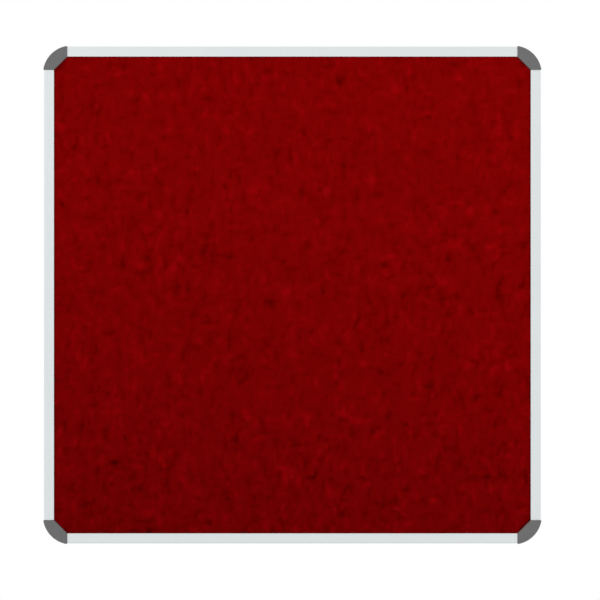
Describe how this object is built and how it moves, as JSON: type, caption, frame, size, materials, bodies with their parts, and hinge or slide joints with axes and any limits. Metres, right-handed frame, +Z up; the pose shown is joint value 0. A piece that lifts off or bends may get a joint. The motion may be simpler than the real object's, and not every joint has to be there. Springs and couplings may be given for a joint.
{
  "type": "pinboard",
  "caption": "Square wall pinboard: felt over softboard in a slim aluminium frame, with rounded plastic corner caps that pull off to show the wall screws' holes.",
  "frame": {"origin": "centre of the board on the wall plane, which the rails' and connectors' rear faces lie on", "axes": "+Y into the wall, so the felt faces -Y; +Z up the wall; +X to the right as seen from the front"},
  "size_m": [0.9014, 0.0203, 0.9014],
  "materials": {
    "frame_aluminium": "satin",
    "cap_grey": "satin",
    "connector_grey": "matte",
    "red_felt": "matte",
    "softboard": "matte",
    "hardboard": "matte",
    "screw_steel": "satin"
  },
  "bodies": {
    "board": {"top_rail": "frame_aluminium", "bottom_rail": "frame_aluminium", "left_rail": "frame_aluminium", "right_rail": "frame_aluminium", "top_left_connector": "connector_grey", "top_right_connector": "connector_grey", "bottom_left_connector": "connector_grey", "bottom_right_connector": "connector_grey", "felt_facing": "red_felt", "softboard_core": "softboard", "hardboard_back": "hardboard", "bottom_rail_left_screw": "screw_steel", "bottom_rail_right_screw": "screw_steel", "top_rail_left_screw": "screw_steel", "top_rail_right_screw": "screw_steel", "left_rail_bottom_screw": "screw_steel", "left_rail_top_screw": "screw_steel", "right_rail_bottom_screw": "screw_steel", "right_rail_top_screw": "screw_steel"},
    "top_left_cover": {"top_left_cap": "cap_grey"},
    "top_right_cover": {"top_right_cap": "cap_grey"},
    "bottom_left_cover": {"bottom_left_cap": "cap_grey"},
    "bottom_right_cover": {"bottom_right_cap": "cap_grey"}
  },
  "joints": [
    {"name": "top_left_cap_slide", "type": "slide", "parent": "board", "child": "top_left_cover", "axis": [0, -1, 0], "range_m": [0, 0.025]},
    {"name": "top_right_cap_slide", "type": "slide", "parent": "board", "child": "top_right_cover", "axis": [0, -1, 0], "range_m": [0, 0.025]},
    {"name": "bottom_left_cap_slide", "type": "slide", "parent": "board", "child": "bottom_left_cover", "axis": [0, -1, 0], "range_m": [0, 0.025]},
    {"name": "bottom_right_cap_slide", "type": "slide", "parent": "board", "child": "bottom_right_cover", "axis": [0, -1, 0], "range_m": [0, 0.025]}
  ]
}
